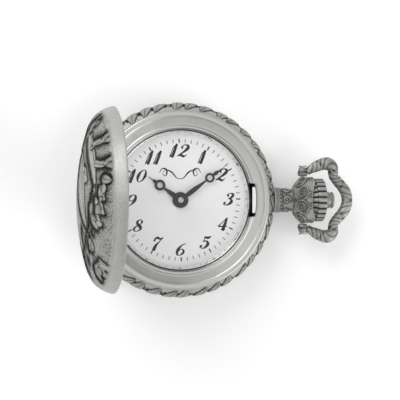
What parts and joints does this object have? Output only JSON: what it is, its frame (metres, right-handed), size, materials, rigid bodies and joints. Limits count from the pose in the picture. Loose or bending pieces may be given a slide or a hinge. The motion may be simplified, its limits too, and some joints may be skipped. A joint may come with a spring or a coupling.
{
  "type": "hunter pocket watch",
  "caption": "Small hunter pocket watch with a domed relief lid sprung open on a side hinge, white dial, fluted crown with push button and a lobed bow on the pendant.",
  "frame": {"origin": "centre of the flat of the back cover, on which the watch lies", "axes": "+Z out of the dial, +Y to 12 o'clock, +X out along the pendant, crown and bow; the lid's hinge is at -X"},
  "size_m": [0.0545, 0.036, 0.0432],
  "materials": {
    "antique_pewter": "antique, satin with dark recesses",
    "satin_pewter": "satin",
    "polished_steel": "polished",
    "steel": "fine brushed",
    "spring_steel": "blued grey",
    "glass": "clear",
    "dial_white": "matt enamel",
    "hand_black": "gloss",
    "brass": "brushed",
    "nickel": "matt nickel",
    "copper_wire": "lacquered wire",
    "black_rubber": "matt",
    "white_plastic": "matt",
    "green_board": "lacquered",
    "black_resin": "gloss",
    "cell_can": "bright"
  },
  "bodies": {
    "case": {"case_band": "antique_pewter", "bezel_ring": "satin_pewter", "back_cover": "antique_pewter", "back_gasket": "black_rubber", "hinge_pin": "steel", "lift_spring": "spring_steel", "lock_spring": "spring_steel", "case_spring_screws": "steel", "inner_ring": "polished_steel", "crystal": "glass", "crystal_gasket": "black_rubber", "dial": "dial_white", "pendant_neck": "antique_pewter", "pendant_cup": "antique_pewter", "crown_gasket": "black_rubber", "bow_screws": "steel", "movement_holder": "white_plastic", "main_plate": "nickel", "train_bridge": "nickel", "bridge_screws": "steel", "stator": "steel", "coil_core": "steel", "coil_winding": "copper_wire", "stator_screws": "steel", "circuit_board": "green_board", "quartz_can": "cell_can", "circuit_chip": "black_resin", "board_screw": "steel", "board_spacer": "white_plastic", "battery_cell": "cell_can", "battery_strap": "steel", "battery_contact": "brass", "dial_washer": "brass", "minute_post": "steel", "setting_post": "steel"},
    "lid": {"front_lid": "antique_pewter"},
    "bow_loop": {"bow": "antique_pewter"},
    "catch_piece": {"catch": "polished_steel"},
    "lever": {"setting_lever": "steel"},
    "crown_stem": {"crown": "antique_pewter", "crown_sleeve": "steel", "setting_stem": "steel", "button_spring": "spring_steel"},
    "button": {"push_button": "satin_pewter"},
    "clutch": {"sliding_pinion": "steel"},
    "yoke_arm": {"yoke": "steel"},
    "minute": {"centre_wheel": "brass", "cannon_pinion": "steel", "minute_hand": "hand_black"},
    "hour": {"hour_wheel": "brass", "hour_hand": "hand_black"},
    "motion": {"minute_wheel": "brass", "minute_pinion": "steel"},
    "setting": {"setting_wheel": "steel"},
    "third": {"third_wheel": "brass", "third_pinion": "steel"},
    "fifth": {"fifth_wheel": "brass", "fifth_pinion": "steel"},
    "rotor": {"rotor_pinion": "steel", "rotor_magnet": "steel"}
  },
  "joints": [
    {"name": "lid_hinge", "type": "hinge", "parent": "case", "child": "lid", "pos_m": [-0.0166, 0, 0.0103], "axis": [0, -1, 0], "range_deg": [-88, 0], "stiffness_Nm_per_rad": 0.0012, "springref_deg": 17.19},
    {"name": "bow_swing", "type": "hinge", "parent": "case", "child": "bow_loop", "pos_m": [0.0239, 0, 0.0054], "axis": [0, -1, 0], "range_deg": [-30, 95]},
    {"name": "crown_pull", "type": "slide", "parent": "case", "child": "lever", "axis": [1, 0, 0], "range_m": [0, 0.0008]},
    {"name": "crown_turn", "type": "hinge", "parent": "lever", "child": "crown_stem", "pos_m": [0.02475, 0, 0.0054], "axis": [1, 0, 0], "continuous": true},
    {"name": "button_press", "type": "slide", "parent": "crown_stem", "child": "button", "axis": [-1, 0, 0], "range_m": [0, 0.0006], "stiffness_N_per_m": 150, "springref_m": -0.0001},
    {"name": "catch_slide", "type": "slide", "parent": "case", "child": "catch_piece", "axis": [-1, 0, 0], "range_m": [0, 0.0003]},
    {"name": "clutch_slide", "type": "slide", "parent": "crown_stem", "child": "clutch", "axis": [-1, 0, 0], "range_m": [0, 0.0013]},
    {"name": "yoke_swing", "type": "hinge", "parent": "case", "child": "yoke_arm", "pos_m": [0.00812, 0.0032, 0.0058], "axis": [0, 0, -1], "range_deg": [0, 12]},
    {"name": "minute_turn", "type": "hinge", "parent": "case", "child": "minute", "pos_m": [0, 0, 0.008], "axis": [0, 0, -1], "continuous": true},
    {"name": "hour_turn", "type": "hinge", "parent": "case", "child": "hour", "pos_m": [0, 0, 0.0077], "axis": [0, 0, -1], "continuous": true},
    {"name": "minute_wheel_turn", "type": "hinge", "parent": "case", "child": "motion", "pos_m": [0.00271, 0.00099, 0.0062], "axis": [0, 0, -1], "continuous": true},
    {"name": "setting_wheel_turn", "type": "hinge", "parent": "case", "child": "setting", "pos_m": [0.00564, -0.00008, 0.0062], "axis": [0, 0, -1], "continuous": true},
    {"name": "third_wheel_turn", "type": "hinge", "parent": "case", "child": "third", "pos_m": [-0.00316, -0.00115, 0.0038], "axis": [0, 0, -1], "continuous": true},
    {"name": "fifth_wheel_turn", "type": "hinge", "parent": "case", "child": "fifth", "pos_m": [-0.00414, -0.00386, 0.0033], "axis": [0, 0, -1], "continuous": true},
    {"name": "rotor_turn", "type": "hinge", "parent": "case", "child": "rotor", "pos_m": [-0.00349, -0.00566, 0.004], "axis": [0, 0, -1], "continuous": true}
  ],
  "couplings": [
    {"joint": "hour_turn", "follows": "minute_turn", "ratio": 0.083333},
    {"joint": "minute_wheel_turn", "follows": "minute_turn", "ratio": -0.33333},
    {"joint": "setting_wheel_turn", "follows": "minute_turn", "ratio": 0.75},
    {"joint": "third_wheel_turn", "follows": "minute_turn", "ratio": -6},
    {"joint": "fifth_wheel_turn", "follows": "minute_turn", "ratio": 30},
    {"joint": "rotor_turn", "follows": "minute_turn", "ratio": -90},
    {"joint": "catch_slide", "follows": "button_press", "ratio": 0.5},
    {"joint": "clutch_slide", "follows": "crown_pull", "ratio": 1.625},
    {"joint": "yoke_swing", "follows": "crown_pull", "rad_per_m": 246.53}
  ]
}
